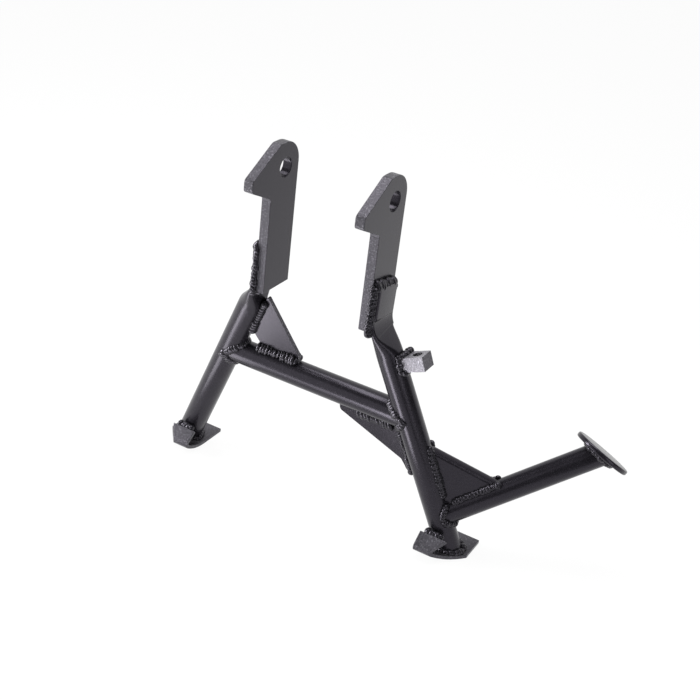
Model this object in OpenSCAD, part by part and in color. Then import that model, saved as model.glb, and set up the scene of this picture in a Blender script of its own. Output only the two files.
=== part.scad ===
// Motorcycle centre stand: a welded tube frame that swings under the machine.
// X points to the side with the foot lever, Y to the rear and Z up.
// The origin is the middle of the pivot axis.

/* [Pivot plates] */
// Clear distance between the two plates
plate_gap = 108; // [90:1:130]
// Thickness of the plates
plate_t = 10; // [8:0.5:12]
// Width of the plate's shank
plate_w = 45; // [42:1:50]
// Distance from the pivot axis down to the plate's lower edge
plate_drop = 126; // [118:1:132]
// Bore for the pivot bolt
pivot_d = 20; // [12:0.5:24]
// Radius of the head behind the pivot
head_r = 23.5; // [21:0.5:26]
// How far the hook's nose stands in front of the pivot axis
hook_reach = 55; // [48:1:64]
// Slope of the hook's upper edge
hook_slope = 30.4; // [24:0.2:36]
// Slope of the hook's lower edge
hook_lip = 24.3; // [16:0.1:30]

/* [Leg tubes] */
// Outside diameter of the legs and of the cross tube
leg_d = 26.9; // [25:0.1:30]
// Wall of the legs and of the cross tube
leg_wall = 2.6; // [2:0.1:3.2]
// Angle by which each leg spreads outwards
leg_splay = 22.6; // [16:0.2:28]
// Angle by which the legs lean back on their way down
leg_lean = 6.3; // [2:0.1:10]
// Height of the feet below the pivot axis
stand_drop = 362; // [330:1:400]
// Thickness of the pressed end of a leg
flat_t = 7; // [6.2:0.1:9]
// Distance from the pivot axis down to the top of the pressed end
flat_drop = 82; // [76:1:90]
// Distance from the pivot axis down to the bend below the plate
bend_drop = 122; // [118:1:126]
// Length over which the pressed end becomes round
press_run = 31; // [26:1:40]

/* [Cross tube] */
// Distance from the pivot axis down to the cross tube
cross_drop = 217.3; // [208:0.5:226]

/* [Gussets] */
// Thickness of the two gussets in the frame
gusset_t = 4.7; // [3:0.1:6]
// Width of the upper gusset along the cross tube
upper_gusset_w = 66; // [58:1:74]
// Height of the upper gusset along the leg
upper_gusset_h = 78; // [66:1:84]
// Width of the lower gusset along the cross tube
lower_gusset_w = 66; // [54:1:76]
// Height of the lower gusset along the leg
lower_gusset_h = 50.3; // [44:0.1:60]

/* [Foot lever] */
// Outside diameter of the lever tube
lever_d = 25; // [20:0.5:26]
// Wall of the lever tube
lever_wall = 2.5; // [2:0.1:3.2]
// Length from the leg's axis to the tread disc
lever_l = 175; // [150:1:220]
// Height of the lever's root above the ground
lever_root = 39; // [36:1:48]
// Direction of the lever seen from above, turned from X to the rear
lever_turn = 24; // [10:1:40]
// Rise of the lever above the level
lever_rise = 35.3; // [28:0.1:42]
// Diameter of the tread disc
disc_d = 60; // [50:1:80]
// Thickness of the tread disc
disc_t = 5; // [4:0.5:8]
// Height of the lever's gusset along the leg
lever_gusset_h = 75; // [64:1:84]
// Length of the lever's gusset along the lever
lever_gusset_l = 72; // [62:1:84]
// Width of the lever's gusset over its fold
lever_gusset_w = 12; // [10:0.5:16]
// Sheet of the lever's gusset
lever_gusset_t = 3.5; // [2.5:0.5:4]

/* [Feet] */
// Thickness of the foot plates
foot_t = 4; // [3:0.5:6]
// Width of a foot plate
foot_w = 46.3; // [42:1:56]
// Length of the flat sole behind the leg's front
foot_back = 51.8; // [46:1:60]
// Length of the toe in front of the pivot axis
foot_toe = 11.9; // [8:0.5:16]
// Length of the folded flange in front of the leg
foot_flange = 14; // [9:0.5:15]
// Radius of the sole's upward curve
foot_curve = 58; // [52:1:70]

/* [Spring block] */
// Width of the block from front to back
block_w = 18.8; // [15:0.2:22]
// Height of the block along the leg
block_h = 14.7; // [12:0.1:18]
// How far the block stands out from the leg's axis
block_l = 38; // [34:0.5:46]
// Hole for the return spring's hook
spring_hole_d = 9.6; // [6:0.2:11]

/* [Welds] */
// Radius of the seams on the tubes and gussets
weld_r = 3.4; // [2.6:0.1:4]
// Radius of the seams on the pivot plates
plate_weld_r = 3.9; // [3:0.1:4.6]
// Radius of the seams between the gussets and the cross tube
tube_weld_r = 5.4; // [4.4:0.1:6.2]
// Distance between two ripples of a seam
weld_pitch = 3; // [2.4:0.1:4]

/* [Hidden] */
tube_fn = 64;
weld_fn = 32;
weld_leg = 4;
weld_ripple = 0.14;
weld_gap = 0.06;
seam_lift = 1.1;
gusset_gap = 30;
lever_gap = 40;
press_sides = 40;
leg_r = leg_d / 2;
lever_r = lever_d / 2;
plate_in = plate_gap / 2;
plate_out = plate_in + plate_t;
half_w = plate_w / 2;

// Corners and fillets of the plate's head.
nose_r = 10;
nose_y = -8.6;
head_y = half_w - head_r;
head_top = 25;
tip_upper_r = 5;
tip_lower_r = 4;
neck_r = 4;
notch_drop = 26.6;

// The leg's bend and its axis below it.
bend_y = -3.3;
flat_tilt = 3;
flat_end_slope = 7.4;
press_start = 5;
bend_soft = 7;
bend = [plate_out + flat_t / 2 * cos(180 / press_sides), bend_y, -bend_drop];
leg_dir = [sin(leg_splay), cos(leg_splay) * sin(leg_lean), -cos(leg_splay) * cos(leg_lean)];
flat_dir = [0, -sin(flat_tilt), -cos(flat_tilt)];
frame_up = [0, -sin(leg_lean), cos(leg_lean)];
frame_back = [0, cos(leg_lean), sin(leg_lean)];
ground_z = -stand_drop;
foot_top_z = ground_z + foot_t;
press_end = press_start + press_run;
leg_len = (bend_drop - stand_drop) / leg_dir.z;
lean_run = leg_r * tan(leg_lean);
big = 400;

// The cross tube lies in the plane of the two legs.
cross_pt = frame_point(0, -cross_drop);
leg_slope = tan(leg_splay);

// The lever and its disc.
lever_dir = [cos(lever_rise) * cos(lever_turn), cos(lever_rise) * sin(lever_turn), sin(lever_rise)];
lever_foot = leg_at(stand_drop - lever_root);
disc_turn = 54;
disc_rise = 52.7;
disc_dir = [cos(disc_rise) * cos(disc_turn), cos(disc_rise) * sin(disc_turn), sin(disc_rise)];
lever_end = lever_foot + lever_dir * lever_l;
disc_off = 1.5;
disc_base = lever_end - disc_off * unit(cross(disc_dir, [0, 1, 0]));
disc_edge_r = 1.6;
lever_side = unit(cross(lever_dir, -leg_dir));
lever_up = cross(lever_side, lever_dir);
lever_leg_x = -leg_dir * lever_dir;
lever_leg_y = -leg_dir * lever_up;

// The spring block stands square to the leg in the front view.
block_out = [cos(leg_splay), 0, sin(leg_splay)];
block_up = [-sin(leg_splay), 0, cos(leg_splay)];
block_front = 6.8;
block_run = 36;
block_gap = 0.2;
block_turn = 0.6;
block_corner = bend + leg_dir * block_run + block_out * block_l + [0, -block_front, 0];

// The foot plate's places, given from the leg's axis at the ground.
foot_leg = leg_at(stand_drop - foot_t);
foot_in = 24;
foot_curve_y = 20;
foot_fold_r = 3.5;
foot_fold_rise = 37;
foot_side_y = 21;
foot_notch_x = 19.8;
foot_notch_turn = 37.5;

steel = [0.17, 0.165, 0.18];
cut_steel = [0.24, 0.235, 0.25];
seam_steel = [0.12, 0.115, 0.13];

function unit(v) = v / norm(v);

function turn_back(list) = [for (i = [len(list) - 1:-1:0]) list[i]];

function arc(c, r, from, to, steps = 8) =
    [for (i = [0:steps]) let (a = from + (to - from) * i / steps) c + r * [cos(a), sin(a)]];

// A point of the legs' plane, from its place across and its height.
function frame_point(x, z) = [x, bend_y - (z + bend_drop) * tan(leg_lean), z];

// The right leg's axis at a given depth below the pivot axis.
function leg_at(drop) = bend + leg_dir * (bend_drop - drop) / leg_dir.z;

// A point in the corner where a branch tube meets a main tube, or a plane if main_r is 0.
function joint_point(origin, branch, main, main_r, branch_r, a) =
    let (side = main_r == 0 ? main : unit(branch - main * (branch * main)))
    let (r = branch_r + weld_gap)
    let (reach = main_r == 0 ? 0 : sqrt(max(0, main_r * main_r - pow(r * sin(a), 2))))
    let (radial = joint_radial(branch, main, a))
    origin + branch * ((reach - r * radial * side) / (branch * side) + weld_gap) + radial * r;

// The direction out of the branch tube at an angle round it.
function joint_radial(branch, main, a) =
    let (front = unit(cross(branch, main)))
    cross(front, branch) * cos(a) + front * sin(a);

// A fillet's section there: the corner, then an arc from the main surface to the branch.
function joint_section(origin, branch, main, main_r, branch_r, a, w) =
    let (k = joint_point(origin, branch, main, main_r, branch_r, a))
    let (next = joint_point(origin, branch, main, main_r, branch_r, a + 2))
    let (before = joint_point(origin, branch, main, main_r, branch_r, a - 2))
    let (t = unit(next - before))
    let (radial = joint_radial(branch, main, a))
    let (rel = k - origin)
    let (normal = main_r == 0 ? main : unit(rel - main * (rel * main)))
    let (c1 = unit(cross(radial, t)))
    let (up = c1 * sign(c1 * branch))
    let (c2 = unit(cross(normal, t)))
    let (away = c2 * sign(c2 * radial - c2 * up))
    let (angle = atan2(away * radial, away * up))
    let (squash = max(0, (angle - 90) / 180))
    concat([k], [for (j = [4:-1:0])
        let (b = angle * j / 4)
        k + w * (1 - squash * sin(45 * j)) * (up * cos(b) + radial * sin(b))]);

// Puts children at a point with the given directions as their own axes.
module place(o, ex, ey, ez) {
    multmatrix([
        [ex.x, ey.x, ez.x, o.x],
        [ex.y, ey.y, ez.y, o.y],
        [ex.z, ey.z, ez.z, o.z],
        [0, 0, 0, 1]
    ])
        children();
}

// Turns the Z axis of the children to a direction, from a point.
module along(o, v) {
    translate(o)
        rotate([0, acos(v.z / norm(v)), atan2(v.y, v.x)])
            children();
}

// Skins a list of rings, either joined into a loop or with capped ends.
module skin(rings, closed = false) {
    n = len(rings[0]);
    count = len(rings);
    spans = closed ? count : count - 1;
    sides = [for (k = [0:spans - 1]) for (i = [0:n - 1]) let (m = (k + 1) % count)
        [k * n + i, k * n + (i + 1) % n, m * n + (i + 1) % n, m * n + i]];
    halves = [for (q = sides) each [[q[0], q[1], q[2]], [q[0], q[2], q[3]]]];
    caps = [[for (i = [0:n - 1]) n - 1 - i], [for (i = [0:n - 1]) (count - 1) * n + i]];
    polyhedron([for (ring = rings) each ring], closed ? halves : concat(halves, caps));
}

// The rings of a rippled fillet round the end of a branch tube, on a tube or a plane.
function seam_rings(origin, branch, main, main_r, branch_r, from, to) =
    let (turn = (to - from) / 360)
    let (count = 2 * round(turn * 2 * PI * (branch_r + weld_leg / 2) / weld_pitch))
    let (last = turn >= 1 ? count - 1 : count)
    [for (k = [0:last])
        let (w = weld_leg * (k % 2 == 0 ? 1 : 1 - weld_ripple))
        joint_section(origin, branch, main, main_r, branch_r, from + (to - from) * k / count, w)];

module round_seam(origin, branch, main, main_r, branch_r, from, to) {
    skin(seam_rings(origin, branch, main, main_r, branch_r, from, to), to - from >= 360);
}

// A straight rippled seam from one point to another.
module seam(a, b, r = weld_r) {
    count = max(2, round(norm(b - a) / weld_pitch));
    step = norm(b - a) / count;
    along(a, b - a)
        rotate_extrude($fn = weld_fn)
            polygon(concat(
                [[0, -r * 0.6], [r * 0.6, -r * 0.4]],
                [for (i = [0:count - 1]) each [[r * (1 - weld_ripple), i * step], [r, (i + 0.5) * step]]],
                [[r * (1 - weld_ripple), count * step], [r * 0.6, count * step + r * 0.4]],
                [[0, count * step + r * 0.6]]
            ));
}

// The pivot plate's outline, Y across and Z up, with the hook to the front.
function plate_outline() =
    let (up = [-sin(hook_slope), cos(hook_slope)])
    let (under = [-sin(hook_lip), -cos(hook_lip)])
    let (nose = [nose_y, head_top - nose_r])
    let (up_k = nose * up + nose_r)
    let (under_k = under * [-half_w, -notch_drop])
    let (tip_a_y = tip_upper_r - hook_reach)
    let (tip_a = [tip_a_y, (up_k - tip_upper_r - up.x * tip_a_y) / up.y])
    let (tip_b_y = tip_lower_r - hook_reach)
    let (tip_b = [tip_b_y, (under_k - tip_lower_r - under.x * tip_b_y) / under.y])
    let (neck_y = -half_w - neck_r)
    let (neck = [neck_y, (under_k + neck_r - under.x * neck_y) / under.y])
    concat(
        [[half_w, -plate_drop]],
        arc([head_y, head_top - head_r], head_r, 0, 90, 12),
        arc(nose, nose_r, 90, 90 + hook_slope, 5),
        arc(tip_a, tip_upper_r, 90 + hook_slope, 180, 6),
        arc(tip_b, tip_lower_r, 180, 270 - hook_lip, 6),
        arc(neck, neck_r, 90 - hook_lip, 0, 6),
        [[-half_w, -plate_drop]]
    );

module pivot_plate() {
    difference() {
        place([plate_in, 0, 0], [0, 1, 0], [0, 0, 1], [1, 0, 0])
            linear_extrude(plate_t)
                polygon(plate_outline());
        translate([plate_in - 1, 0, 0])
            rotate([0, 90, 0])
                cylinder(d = pivot_d, h = plate_t + 2, $fn = tube_fn);
    }
}

module left_pivot_plate() {
    color(steel)
        mirror([1, 0, 0])
            pivot_plate();
}

module right_pivot_plate() {
    color(steel)
        pivot_plate();
}

// The leg's centre line: straight up the plate, a soft bend, then down the leg.
function leg_path(s) =
    s <= -bend_soft ? bend + flat_dir * s :
    s >= bend_soft ? bend + leg_dir * s :
    let (u = (s + bend_soft) / (2 * bend_soft))
    bend + bend_soft * (leg_dir * u * u - flat_dir * (1 - u) * (1 - u));

function leg_tangent(s) =
    let (u = min(1, max(0, (s + bend_soft) / (2 * bend_soft))))
    unit(flat_dir * (1 - u) + leg_dir * u);

// Thickness of the leg at a place on its centre line: pressed flat, then round.
function press_thickness(s) =
    let (u = min(1, max(0, (s - press_start) / press_run)))
    flat_t + (leg_d - flat_t) * u * u * (3 - 2 * u);

// One ring of the pressed tube. Its girth stays that of the round tube.
function press_ring(s, inset) =
    let (t = leg_tangent(s))
    let (wide = unit([0, 1, 0] - t * t.y))
    let (thin = cross(t, wide))
    let (h = press_thickness(s))
    let (half_run = PI / 4 * (leg_d - h))
    let (r = h / 2 - inset)
    let (end_slope = s <= -bend_soft - 1 ? tan(flat_end_slope - flat_tilt) : 0)
    [for (i = [0:press_sides - 1])
        let (a = (i + 0.5) * 360 / press_sides)
        let (w = r * cos(a) + (cos(a) > 0 ? half_run : -half_run))
        leg_path(s) + wide * w + t * (w * end_slope) + thin * (r * sin(a))];

press_steps = concat(
    [bend_drop * -1 + flat_drop],
    [for (i = [0:4]) -bend_soft + i * bend_soft / 2],
    [for (i = [1:9]) bend_soft + (press_end - bend_soft) * i / 9]
);

// How far the foot plate's upper side rises above its flat part, and a point lifted with it.
function sole_rise(y) =
    let (r = foot_curve - foot_t)
    y < foot_curve_y ? r - sqrt(r * r - pow(foot_curve_y - y, 2)) : 0;
function on_sole(p) = p + [0, 0, sole_rise(p.y) + weld_gap];

// The end of a leg, coped to the foot plate.
function down_to_foot(ring) =
    [for (p = ring) on_sole(p + leg_dir * (foot_top_z - p.z) / leg_dir.z)];

// The leg as one closed tube with its bore, from the pressed end down to the foot plate.
module leg_tube() {
    outer = [for (s = press_steps) press_ring(s, 0)];
    inner = [for (s = press_steps) press_ring(s, leg_wall)];
    last = len(press_steps) - 1;
    skin(concat(
        inner,
        [down_to_foot(inner[last]), down_to_foot(outer[last])],
        turn_back(outer)
    ), true);
}

module leg_axis() {
    along(bend, leg_dir)
        children();
}

// The solid envelope of the leg's round part, from a place on its axis down.
module round_leg(from = press_end) {
    leg_axis()
        translate([0, 0, from])
            cylinder(d = leg_d, h = leg_len + leg_d - from, $fn = tube_fn);
}

module left_leg_tube() {
    color(steel)
        mirror([1, 0, 0])
            leg_tube();
}

module right_leg_tube() {
    color(steel)
        leg_tube();
}

// The cross tube, coped to both legs.
module cross_bar(d) {
    half = bend.x + leg_slope * (cross_drop - bend_drop) / cos(leg_lean);
    translate([-half, cross_pt.y, cross_pt.z])
        rotate([0, 90, 0])
            cylinder(d = d, h = 2 * half, $fn = tube_fn);
}

module cross_tube() {
    color(steel)
        difference() {
            cross_bar(leg_d);
            cross_bar(leg_d - 2 * leg_wall);
            round_leg();
            mirror([1, 0, 0])
                round_leg();
        }
}

// A flat sheet in the plane of the legs, from an outline in X and height.
module frame_sheet(points) {
    flat = [for (p = points) [p.x, p.y / cos(leg_lean)]];
    place(frame_point(0, 0), [1, 0, 0], frame_up, -frame_back)
        translate([0, 0, -gusset_t / 2])
            linear_extrude(gusset_t)
                polygon(flat);
}

// Place across of the leg's axis and inner side at a height in the frame.
function leg_x(z) = bend.x - (z + bend_drop) / cos(leg_lean) * leg_slope;
function leg_in_x(z) = leg_x(z) - leg_r / cos(leg_splay);

cross_top = -cross_drop + leg_r * cos(leg_lean);
cross_under = -cross_drop - leg_r * cos(leg_lean);
// How far the upper gusset is cut back beside the leg, and how high that cut starts and ends.
gusset_snip = 18;
snip_foot = 9.5;
snip_head = 21;
gusset_foot = 9;
gusset_tip = 1.5;
upper_foot_x = leg_in_x(cross_top) - upper_gusset_w;
upper_tip_z = cross_top + upper_gusset_h * cos(leg_splay) * cos(leg_lean) - 7;
lower_root_x = leg_in_x(cross_under) - 1;
lower_tip_z = cross_under - lower_gusset_h;

module upper_gusset() {
    color(steel)
        difference() {
            frame_sheet([
                [-upper_foot_x, cross_top + gusset_foot],
                [-upper_foot_x, cross_top - leg_r],
                [-leg_in_x(cross_top) + gusset_snip, cross_top - leg_r],
                [-leg_in_x(cross_top) + gusset_snip, cross_top + snip_foot],
                [-leg_in_x(cross_top + snip_head), cross_top + snip_head],
                [-leg_x(cross_top + snip_head), cross_top + snip_head],
                [-leg_x(upper_tip_z), upper_tip_z],
                [-leg_in_x(upper_tip_z) + gusset_tip, upper_tip_z]
            ]);
            cross_bar(leg_d);
            mirror([1, 0, 0])
                round_leg(0);
        }
}

// The lower gusset's rounded corners and the waist between them, from its root and its tip.
lower_rise = 4;
root_corner = [3.5, -4.5];
root_corner_r = 5;
tip_corner = [-4.5, 6];
tip_corner_r = 6;
tip_waist = [-15.5, 11.5];

module lower_gusset() {
    root = [lower_root_x - lower_gusset_w, cross_under];
    tip = [leg_in_x(lower_tip_z), lower_tip_z];
    color(steel)
        difference() {
            frame_sheet(concat(
                [[root.x - lower_rise, -cross_drop]],
                arc(root + root_corner, root_corner_r, 180, 262, 4),
                [tip + tip_waist],
                arc(tip + tip_corner, tip_corner_r, 195, 270, 5),
                [
                    [leg_x(lower_tip_z), lower_tip_z],
                    [leg_x(-cross_drop), -cross_drop]
                ]
            ));
            cross_bar(leg_d);
            round_leg();
        }
}

module lever_solid(d, from = 0) {
    along(lever_foot, lever_dir)
        translate([0, 0, from])
            cylinder(d = d, h = lever_l + lever_d - from, $fn = tube_fn);
}

module disc_place() {
    along(disc_base, disc_dir)
        children();
}

module lever_tube() {
    color(steel)
        difference() {
            lever_solid(lever_d);
            lever_solid(lever_d - 2 * lever_wall, -1);
            round_leg();
            disc_place()
                cylinder(d = disc_d * 2, h = disc_d, $fn = tube_fn);
        }
}

// The tread disc, with its rim rounded.
module foot_disc() {
    color(steel)
        disc_place()
            rotate_extrude($fn = tube_fn)
                polygon(concat(
                    [[0, 0]],
                    arc([disc_d / 2 - disc_edge_r, disc_edge_r], disc_edge_r, -90, 0, 5),
                    arc([disc_d / 2 - disc_edge_r, disc_t - disc_edge_r], disc_edge_r, 0, 90, 5),
                    [[0, disc_t]]
                ));
}

// Places of the folded gusset's ridge, along the lever and above it.
function lever_leg_side(h) = h * lever_leg_x / lever_leg_y + leg_r / lever_leg_y;
ridge_a = [lever_leg_side(lever_gusset_h), lever_gusset_h];
ridge_b = [lever_gusset_l, lever_r];
ridge_way = unit(ridge_b - ridge_a);
ridge_dir = lever_dir * ridge_way.x + lever_up * ridge_way.y;
ridge_up = -lever_dir * ridge_way.y + lever_up * ridge_way.x;
ridge_start = lever_foot + lever_dir * ridge_a.x + lever_up * ridge_a.y;

// A sheet folded over one ridge, seen along the ridge.
module fold_profile() {
    r = lever_gusset_w / 2;
    difference() {
        union() {
            translate([0, -r])
                circle(r, $fn = 32);
            translate([-r, -big / 4])
                square([2 * r, big / 4 - r]);
        }
        translate([0, -r])
            circle(r - lever_gusset_t, $fn = 32);
        translate([lever_gusset_t - r, -big / 4 - 1])
            square([2 * (r - lever_gusset_t), big / 4 + 1 - r]);
    }
}

module lever_gusset() {
    color(steel)
        difference() {
            intersection() {
                place(ridge_start - ridge_dir * 20, -lever_side, ridge_up, ridge_dir)
                    linear_extrude(norm(ridge_b - ridge_a) + 40)
                        fold_profile();
                place(lever_foot - lever_side * lever_d, lever_dir, lever_up, lever_side)
                    linear_extrude(2 * lever_d)
                        polygon([
                            [0, 0],
                            [lever_gusset_l + 8, 0],
                            [lever_gusset_l + 1, lever_r],
                            [lever_gusset_l, lever_r + 4],
                            [ridge_a.x + 4, ridge_a.y],
                            [ridge_a.x, ridge_a.y + 2],
                            [lever_gusset_h * lever_leg_x / lever_leg_y, lever_gusset_h]
                        ]);
            }
            round_leg();
            lever_solid(lever_d);
        }
}

// The foot plate's profile, Y across and Z up, as a band round a centre line.
function foot_line(inset) =
    let (mid = foot_t / 2)
    let (turn = asin((foot_curve_y + foot_toe) / foot_curve))
    let (sole = arc([foot_curve_y, ground_z + foot_curve], foot_curve - inset, 270, 270 - turn, 8))
    let (end = [foot_curve_y, ground_z + foot_curve] - (foot_curve - mid) * [sin(turn), cos(turn)])
    let (fold = end + foot_fold_r * [sin(turn), cos(turn)])
    let (bow = arc(fold, foot_fold_r + mid - inset, 270 - turn, 90 + foot_fold_rise, 8))
    let (way = [cos(foot_fold_rise), sin(foot_fold_rise)])
    concat([[foot_back, ground_z + inset]], sole, bow, [bow[8] + way * foot_flange]);

module foot_plate() {
    x0 = foot_leg.x - foot_in;
    intersection() {
        place([x0, 0, 0], [0, 1, 0], [0, 0, 1], [1, 0, 0])
            linear_extrude(foot_w)
                polygon(concat(foot_line(0), turn_back(foot_line(foot_t))));
        translate([0, 0, ground_z - 1])
            linear_extrude(stand_drop)
                polygon([
                    [x0 - 1, foot_back + 1],
                    [x0 - 1, -big / 8],
                    [x0 + foot_notch_x - (big / 8 - foot_toe) * tan(foot_notch_turn), -big / 8],
                    [x0 + foot_notch_x, -foot_toe],
                    [x0 + foot_w, foot_side_y],
                    [x0 + foot_w, foot_back + 1]
                ]);
    }
}

module left_foot_plate() {
    color(cut_steel)
        mirror([1, 0, 0])
            foot_plate();
}

module right_foot_plate() {
    color(cut_steel)
        foot_plate();
}

module spring_hook_block() {
    color(cut_steel)
        difference() {
            place(block_corner, block_out, [0, 1, 0], block_up)
                difference() {
                    translate([-block_l, 0, -block_h])
                        cube([block_l, block_w, block_h]);
                    translate([-block_w / 2, block_w / 2, -block_h - 1])
                        cylinder(d = spring_hole_d, h = block_h + 2, $fn = tube_fn);
                }
            round_leg(0);
        }
}

flat_back = [0, -cos(flat_tilt), sin(flat_tilt)];
bar_below = 10;
flat_half = PI / 4 * (leg_d - flat_t);
flat_top_y = bend_y + (bend_drop - flat_drop) * tan(flat_tilt);
edge_half = flat_half + flat_t / 2;

// The straight part of the pressed end as a filled bar, with the slope of its top.
module end_bar() {
    top = bend_drop - flat_drop;
    fall = edge_half * tan(flat_end_slope - flat_tilt);
    place(bend, -flat_back, [1, 0, 0], -flat_dir)
        intersection() {
            translate([0, 0, -bar_below])
                linear_extrude(top + fall + bar_below) {
                    square([2 * flat_half, flat_t], center = true);
                    translate([flat_half, 0])
                        circle(d = flat_t, $fn = tube_fn);
                    translate([-flat_half, 0])
                        circle(d = flat_t, $fn = tube_fn);
                }
            rotate([90, 0, 0])
                linear_extrude(2 * flat_t, center = true)
                    polygon([
                        [-edge_half, -bar_below],
                        [edge_half, -bar_below],
                        [edge_half, top - fall],
                        [-edge_half, top + fall]
                    ]);
        }
}

// The front view of the leg between its pressed and its round part, as a filled block.
// The leg leans back, so its rear half is as thick as the leg is a little further down.
module press_block() {
    side = [for (s = press_steps) if (s > -bend_soft - 1)
        let (t = leg_tangent(s))
        let (thin = unit([-t.z, 0, t.x]) * press_thickness(s + lean_run) / 2)
        let (p = leg_path(s))
        [p - thin, p + thin]];
    line = concat([for (q = side) q[0]], turn_back([for (q = side) q[1]]));
    place([0, bend_y - leg_d, 0], [1, 0, 0], [0, 0, 1], [0, 1, 0])
        linear_extrude(2 * leg_d)
            polygon([for (p = line) [p.x, p.z]]);
}

// What a seam beside the leg has to stay clear of.
module leg_block() {
    press_block();
    round_leg(press_end - lean_run);
}

// How far the pressed end's seams lie from the plate and outside the pressed edges.
plate_seam_out = 1.5;
plate_seam_side = 0.6;
// Where the front and rear seams start, from the pressed end's top, and the front one's run-out.
front_seam_start = 1;
rear_seam_start = -4;
front_seam_end = 2;
// The seam over the top: how much further out it lies, its rise, its ends' distance inside
// the edges and its extra radius.
top_seam_out = 0.1;
top_seam_rise = 4.4;
top_seam_front = 2;
top_seam_rear = 2.5;
top_seam_more = 1.4;

// The seam that runs up the front of a pressed end, over its top and down the rear.
module plate_weld() {
    x = plate_out + plate_seam_out;
    side = edge_half + plate_seam_side;
    top_z = top_seam_rise - flat_drop;
    top_fall = 2 * edge_half * tan(flat_end_slope);
    difference() {
        union() {
            seam(
                [x, flat_top_y - side, front_seam_start - flat_drop],
                [x, bend_y - side, -plate_drop - front_seam_end],
                plate_weld_r
            );
            seam(
                [x, flat_top_y + side, rear_seam_start - flat_drop],
                [x, bend_y + side, bend_soft - bend_drop],
                plate_weld_r
            );
            seam(
                [x + top_seam_out, flat_top_y - edge_half + top_seam_front, top_z],
                [x + top_seam_out, flat_top_y + edge_half - top_seam_rear, top_z - top_fall],
                plate_weld_r + top_seam_more
            );
        }
        pivot_plate();
        end_bar();
    }
}

// The lower seam's depth inside the plate, its drop below the plate and its ends' set-in.
lower_seam_in = 0.8;
lower_seam_drop = 2.4;
lower_seam_short = 3;

// The seam under the plate's lower edge, against the leg's inner side.
module plate_lower_weld() {
    difference() {
        seam(
            [plate_out - lower_seam_in, bend_y - flat_half + lower_seam_short, -plate_drop - lower_seam_drop],
            [plate_out - lower_seam_in, bend_y + flat_half - lower_seam_short, -plate_drop - lower_seam_drop],
            plate_weld_r
        );
        pivot_plate();
        leg_block();
    }
}

module left_plate_weld() {
    color(seam_steel)
        mirror([1, 0, 0])
            plate_weld();
}

module right_plate_weld() {
    color(seam_steel)
        plate_weld();
}

module left_plate_lower_weld() {
    color(seam_steel)
        mirror([1, 0, 0])
            plate_lower_weld();
}

module right_plate_lower_weld() {
    color(seam_steel)
        plate_lower_weld();
}

// The seam round the cross tube's end on the right leg.
module cross_weld(from, to) {
    round_seam(leg_at(cross_drop), [-1, 0, 0], leg_dir, leg_r, leg_r, from, to);
}

module cross_tube_left_weld() {
    color(seam_steel)
        mirror([1, 0, 0])
            cross_weld(0, 360);
}

module cross_tube_right_weld() {
    color(seam_steel)
        cross_weld(gusset_gap, 360 - gusset_gap);
}

// Two parallel seams, one on each face of a sheet in the legs' plane.
module sheet_seams(a, b, r = weld_r) {
    off = frame_back * (gusset_t / 2 + seam_lift);
    seam(a - off, b - off, r);
    seam(a + off, b + off, r);
}

module upper_gusset_leg_weld() {
    color(seam_steel)
        difference() {
            sheet_seams(
                frame_point(-leg_in_x(upper_tip_z - 3) + 1, upper_tip_z - 3),
                frame_point(-leg_in_x(cross_top + snip_head) + 1, cross_top + snip_head)
            );
            upper_gusset();
            mirror([1, 0, 0])
                leg_block();
        }
}

module upper_gusset_tube_weld() {
    color(seam_steel)
        difference() {
            sheet_seams(
                frame_point(-leg_in_x(cross_top) + gusset_snip, cross_top + tube_weld_r / 2),
                frame_point(-upper_foot_x, cross_top + tube_weld_r / 2),
                tube_weld_r
            );
            upper_gusset();
            cross_bar(leg_d);
        }
}

module lower_gusset_leg_weld() {
    color(seam_steel)
        difference() {
            sheet_seams(
                frame_point(leg_in_x(cross_under - 10) - 1, cross_under - 10),
                frame_point(leg_in_x(lower_tip_z + 2) - 1, lower_tip_z + 2)
            );
            lower_gusset();
            round_leg();
        }
}

module lower_gusset_tube_weld() {
    color(seam_steel)
        difference() {
            sheet_seams(
                frame_point(lower_root_x - lower_gusset_w + 22, cross_under - tube_weld_r / 3),
                frame_point(lower_root_x - 8, cross_under - tube_weld_r / 3),
                tube_weld_r
            );
            lower_gusset();
            cross_bar(leg_d);
        }
}

module lever_tube_weld() {
    color(seam_steel)
        round_seam(lever_foot, lever_dir, -leg_dir, leg_r, lever_r, lever_gap, 360 - lever_gap);
}

// A seam on both faces of the folded gusset, from points along the lever.
module fold_seams(a, b) {
    off = lever_side * (lever_gusset_w / 2 + seam_lift);
    from = lever_foot + lever_dir * a.x + lever_up * a.y;
    to = lever_foot + lever_dir * b.x + lever_up * b.y;
    seam(from + off, to + off);
    seam(from - off, to - off);
}

fold_side = sqrt(leg_r * leg_r - lever_gusset_w * lever_gusset_w / 4) / lever_leg_y;
fold_lift = sqrt(lever_r * lever_r - lever_gusset_w * lever_gusset_w / 4);

module lever_gusset_leg_weld() {
    lean = lever_leg_x / lever_leg_y;
    color(seam_steel)
        difference() {
            fold_seams(
                [lever_gusset_h * lean + fold_side, lever_gusset_h],
                [(lever_r + 9) * lean + fold_side, lever_r + 9]
            );
            lever_gusset();
            round_leg();
        }
}

module lever_gusset_tube_weld() {
    color(seam_steel)
        difference() {
            fold_seams([leg_r + 13, fold_lift + 0.6], [lever_gusset_l, fold_lift + 0.6]);
            lever_gusset();
            lever_solid(lever_d);
        }
}

module foot_disc_weld() {
    color(seam_steel)
        round_seam(lever_end, -lever_dir, -disc_dir, 0, lever_r, 0, 360);
}

module left_foot_weld() {
    color(seam_steel)
        mirror([1, 0, 0])
            foot_weld();
}

module right_foot_weld() {
    color(seam_steel)
        foot_weld();
}

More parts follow.
